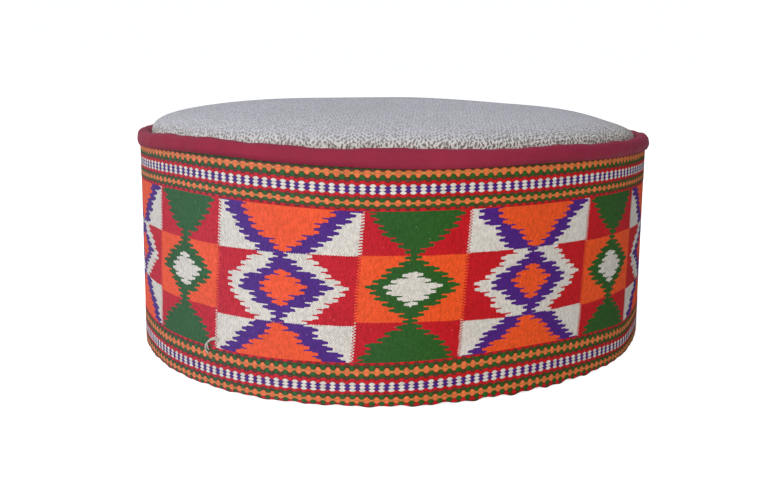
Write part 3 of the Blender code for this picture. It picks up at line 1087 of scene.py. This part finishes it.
def top_points(turn, reach, depth):
    """Points of the top a depth under its face, square to the face. Soft slow dents, a product
    of two sines and a slanting sine, fade out towards the seam."""
    step = 0.002
    inner = np.maximum(reach - step, 0.0)
    outer = np.minimum(reach + step, 1.0)
    run = (outer - inner) * (HALF_WIDTH + SIDE_OUTSET)
    slope = np.arctan2(top_rise(turn, inner) - top_rise(turn, outer), run)
    slope = np.where(reach == 1.0, math.pi / 2, slope)
    outset = SIDE_OUTSET * reach - depth * np.sin(slope) + reach * ripple(turn, CROWN_SEAM)
    x = (HALF_WIDTH * reach + outset) * np.sin(turn)
    y = PLAN_SHIFT - (HALF_LENGTH * reach + outset) * np.cos(turn)
    seam = (CROWN_SEAM + CLEAR / 2) * (1 + reach * front_rise(turn) / BAND_HEIGHT)
    waves = np.sin(x * 71 + 0.4) * np.sin(y * 63 + 1.1) + 0.6 * np.sin(x * 133 - y * 97)
    dents = 0.00035 * waves * (1 - reach ** 8)
    z = seam + top_rise(turn, reach) - depth * np.cos(slope) + dents
    return np.stack([x, y, z], axis=-1)


class KULLUCAP_OT_raise_crown(Operator):
    """Make the tweed top and the upright tweed wall of the crown"""

    bl_idname = "kullucap.raise_crown"
    bl_label = "Raise the crown"

    def execute(self, context):
        self.make_top()
        self.make_wall()
        return {"FINISHED"}

    def make_top(self):
        """The top: rings of points inside and outside, closed at both poles. Its map is the
        cloth laid flat, each point at its length along the face from the middle."""
        around = 360
        turn = (math.tau * np.arange(around) / around)[None, :]
        reach = np.sin(np.linspace(math.pi / 2, 0.03, 90))[:, None] ** 0.9
        outer = top_points(turn, reach, 0.0)
        inner = top_points(turn, reach, TWEED_THICK)
        rings = np.concatenate([inner[::-1], outer])
        poles = [top_points(0.0, np.zeros(1), depth) for depth in (0.0, TWEED_THICK)]
        points = np.concatenate([rings.reshape(-1, 3), *poles])
        spokes = np.concatenate([outer, np.broadcast_to(poles[0], (1, around, 3))])
        steps = np.linalg.norm(np.diff(spokes, axis=0), axis=2)
        length = np.cumsum(steps[::-1], axis=0)[::-1]
        grain_turn = 0.5
        flat = cloth_map(length * np.sin(turn - grain_turn), -length * np.cos(turn - grain_turn))
        uv = np.concatenate([flat[::-1].reshape(-1, 2), flat.reshape(-1, 2), np.zeros((2, 2))])
        total = len(rings) * around
        column = np.arange(around)
        following = np.roll(column, -1)
        last = total - around
        lid = np.stack([column + last, following + last, np.full(around, total)], axis=1)
        floor = np.stack([following, column, np.full(around, total + 1)], axis=1)
        faces = [grid_faces(len(rings), around), lid, floor]
        top = make_piece("crown_top_cloth", points, faces, tweed_material("top_tweed"), uv)
        keep(top, "crown_top")

    def make_wall(self):
        """The wall: a closed profile carried round, with a seam let in down the back, a narrow
        bell inwards and a wider one outwards on each side of it."""
        count = 720
        turn = (math.tau * np.arange(count + 1) / count)[:, None] - math.pi
        seam_arc = np.abs(np.abs(turn) - math.pi) * HALF_WIDTH
        groove = 0.0003 * np.exp(-((seam_arc - 0.0022) / 0.0012) ** 2)
        groove = groove - 0.0008 * np.exp(-(seam_arc / 0.0006) ** 2)
        top = CROWN_SEAM - CLEAR / 2
        soft = 0.0009
        heights = [0.0, soft * 0.4, soft, 0.02, 0.04, 0.06, 0.068, top - soft, top - 0.3 * soft, top]
        bends = np.array([-soft, -soft * 0.3, 0, 0, 0, 0, 0, 0, -0.3 * soft, -soft])
        outer = SIDE_OUTSET + bends + groove
        inner = np.broadcast_to(SIDE_OUTSET - TWEED_THICK - bends[::-1], outer.shape)
        height = np.array(heights + heights[::-1])
        points = place(turn, np.concatenate([outer, inner], axis=1), height)[:-1]
        uv = cloth_map(turn[:-1] / math.tau * WALL_ROUND, height)
        sections, width = points.shape[:2]
        quads = grid_faces(sections + 1, width) % (sections * width)
        material = tweed_material("wall_tweed")
        wall = make_piece("crown_wall", points.reshape(-1, 3), [quads], material, uv.reshape(-1, 2))
        keep(wall, "crown_side")


def tube(path, radius, sides=8):
    """Sections of a round thread and their map: a circle in two directions square to a path of
    points, carried along it and narrowed towards both ends by the root of a sine."""
    ahead = np.gradient(path, axis=0)
    ahead /= np.linalg.norm(ahead, axis=1, keepdims=True)
    first = np.cross(ahead, [0.31, 0.12, 0.94])
    first /= np.linalg.norm(first, axis=1, keepdims=True)
    second = np.cross(ahead, first)
    place_along = np.linspace(0, 1, len(path))
    width = radius * (0.35 + 0.65 * np.sqrt(np.sin(math.pi * np.clip(place_along, 0.02, 0.98))))
    angle = math.tau * np.arange(sides) / sides
    ring = first[:, None] * np.cos(angle)[None, :, None] + second[:, None] * np.sin(angle)[None, :, None]
    points = path[:, None] + ring * width[:, None, None]
    length = running(np.linalg.norm(np.diff(path, axis=0), axis=1))
    return points, cloth_map(length[:, None], angle / math.tau * MM)


class KULLUCAP_OT_leave_threads(Operator):
    """Leave one loose end of cream yarn on the band, frayed into three strands"""

    bl_idname = "kullucap.leave_threads"
    bl_label = "Leave the threads"

    def execute(self, context):
        dye = context.scene.kullu_dye
        start = context.scene.kullu_weave.start
        bends = np.array(LOOSE_YARN).T * MM
        wool = thread_material("loose_yarn_wool", dye.cream, 0.9)
        soft = np.ones(7) / 7
        # Each strand follows the smoothed bends, a little apart from the others and shorter
        for number in range(3):
            t = np.linspace(0, 1 - 0.12 * number, 30)
            lines = [np.interp(t, np.linspace(0, 1, len(line)), line) for line in bends]
            arc, height, lift = (np.convolve(np.pad(line, 3, "edge"), soft, "valid") for line in lines)
            spread = (number - 1) * 0.00042 * (0.5 + t)
            path = place(turn_at(start + arc + spread), lift + 0.6 * abs(spread), height + spread)
            points, uv = tube(path, 0.00026)
            keep(swept_piece(f"loose_yarn_{number + 1}", points, wool, uv))
        return {"FINISHED"}


# Stage


class KULLUCAP_OT_set_stage(Operator):
    """Lay the pale floor, hang the soft lights and set up the camera"""

    bl_idname = "kullucap.set_stage"
    bl_label = "Set the stage"

    def execute(self, context):
        scene = context.scene
        light = scene.kullu_light
        half = 6.0
        corners = [(-half, -half, 0), (half, -half, 0), (half, half, 0), (-half, half, 0)]
        mesh = bpy.data.meshes.new("studio_floor")
        mesh.from_pydata(corners, [], [(0, 1, 2, 3)])
        paper, tree, shader = new_material("studio_paper", 0.9, 0.0)
        shader.inputs["Base Color"].default_value = (0.78, 0.78, 0.78, 1.0)
        shader.inputs["Emission Color"].default_value = (1.0, 1.0, 1.0, 1.0)
        seen = Value(tree, add_node(tree, "ShaderNodeLightPath").outputs["Is Camera Ray"])
        feed(tree, shader.inputs["Emission Strength"], seen * 0.76)
        mesh.materials.append(paper)
        floor = bpy.data.objects.new("studio_floor", mesh)
        scene.collection.objects.link(floor)
        world = bpy.data.worlds.new("studio_surroundings")
        world.use_nodes = True
        shade_surroundings(world.node_tree, light.sky)
        scene.world = world
        scene.view_settings.view_transform = "Standard"
        hang_light("key_light", (0.42, -1.10, 0.60), 1.0, light.key, (1.0, 0.965, 0.90))
        hang_light("fill_light", (1.0, -0.6, 0.4), 0.8, light.fill, (1.0, 0.75, 0.55))
        hang_light("top_light", (0.0, 0.2, 1.3), 1.0, light.top, (0.82, 0.90, 1.0))
        set_camera(scene)
        return {"FINISHED"}


def shade_surroundings(tree, strength):
    """Pale surroundings: white behind the cap, and as light brighter from the left."""
    spot = add_node(tree, "ShaderNodeTexCoord").outputs["Generated"]
    left = add_node(
        tree, "ShaderNodeVectorMath", {0: spot, 1: (-0.88, -0.45, 0.15)}, operation="DOT_PRODUCT"
    )
    glow = ((Value(tree, left.outputs["Value"]) * 0.56 + 0.30) * strength).math("MAXIMUM", 0.0)
    seen = Value(tree, add_node(tree, "ShaderNodeLightPath").outputs["Is Camera Ray"])
    background = tree.nodes["Background"]
    background.inputs["Color"].default_value = (0.95, 0.98, 1.0, 1.0)
    feed(tree, background.inputs["Strength"], seen.choose(1.05, glow))


def hang_light(name, spot, width, power, tint):
    """A square soft light at a place, aimed at the middle of the cap."""
    data = bpy.data.lights.new(name, "AREA")
    data.size = width
    data.energy = power
    data.color = tint
    lamp = bpy.data.objects.new(name, data)
    bpy.context.scene.collection.objects.link(lamp)
    lamp.location = spot
    aim(lamp, np.array([0.0, 0.0, 0.04]) - np.array(spot))


def aim(thing, direction, roll=0.0):
    """Turn an object's -Z along a direction, with its top upwards and then rolled."""
    ahead = direction / np.linalg.norm(direction)
    right = np.cross(ahead, [0, 0, 1])
    right /= np.linalg.norm(right)
    up = np.cross(right, ahead)
    matrix = np.eye(4)
    matrix[:3, 0] = right * math.cos(roll) + up * math.sin(roll)
    matrix[:3, 1] = up * math.cos(roll) - right * math.sin(roll)
    matrix[:3, 2] = -ahead
    matrix[:3, 3] = thing.location
    thing.matrix_world = Matrix(matrix.tolist())


def set_camera(scene):
    """The camera of the photograph: its place, aim, roll and focal length come from a fit of
    the cap's outline. Angles are in radians."""
    distance, around, height = 0.34960, 0.5, 0.10089
    heading, pitch, roll = around + 0.0119, 0.2101, 0.0057
    focal_pixels, image_width = 896.1, 773
    data = bpy.data.cameras.new("photo_camera")
    data.sensor_fit = "HORIZONTAL"
    data.sensor_width = 36.0
    data.lens = focal_pixels * data.sensor_width / image_width
    data.clip_start = 0.01
    camera = bpy.data.objects.new("photo_camera", data)
    scene.collection.objects.link(camera)
    camera.location = (distance * math.sin(around), PLAN_SHIFT - distance * math.cos(around), height)
    level = np.array([-math.sin(heading), math.cos(heading), 0.0]) * math.cos(pitch)
    aim(camera, level - np.array([0.0, 0.0, math.sin(pitch)]), roll)
    scene.camera = camera


# Panel and registration


class KULLUCAP_PT_pieces(Panel):
    """Buttons that make the cap's pieces, and the values that they use"""

    bl_label = "Kullu cap"
    bl_idname = "KULLUCAP_PT_pieces"
    bl_space_type = "VIEW_3D"
    bl_region_type = "UI"
    bl_category = "Kullu cap"

    def draw(self, context):
        layout = self.layout
        for operator in OPERATORS:
            layout.operator(operator.bl_idname)
        for name, kind in SETTINGS.items():
            box = layout.box()
            for prop in kind.__annotations__:
                box.prop(getattr(context.scene, name), prop)


OPERATORS = (
    KULLUCAP_OT_raise_crown,
    KULLUCAP_OT_turn_up_flap,
    KULLUCAP_OT_weave_field,
    KULLUCAP_OT_weave_borders,
    KULLUCAP_OT_sew_binding,
    KULLUCAP_OT_leave_threads,
    KULLUCAP_OT_set_stage,
)
SETTINGS = {
    "kullu_weave": KULLUCAP_PG_weave,
    "kullu_dye": KULLUCAP_PG_dye,
    "kullu_light": KULLUCAP_PG_light,
}
CLASSES = (*SETTINGS.values(), *OPERATORS, KULLUCAP_PT_pieces)


def register():
    """Register the classes and hang the settings on the scene."""
    for item in CLASSES:
        bpy.utils.register_class(item)
    for name, kind in SETTINGS.items():
        setattr(bpy.types.Scene, name, PointerProperty(type=kind))


def unregister():
    """Take the settings and the classes away again."""
    for name in SETTINGS:
        delattr(bpy.types.Scene, name)
    for item in reversed(CLASSES):
        bpy.utils.unregister_class(item)


def main():
    """Register the classes, build the groups and make every piece."""
    register()
    yarn_beads_group()
    wool_surface_group()
    herringbone_group()
    kullu_motifs_group()
    for operator in OPERATORS:
        action = operator.bl_idname.split(".")[1]
        getattr(bpy.ops.kullucap, action)()


if __name__ == "__main__":
    main()
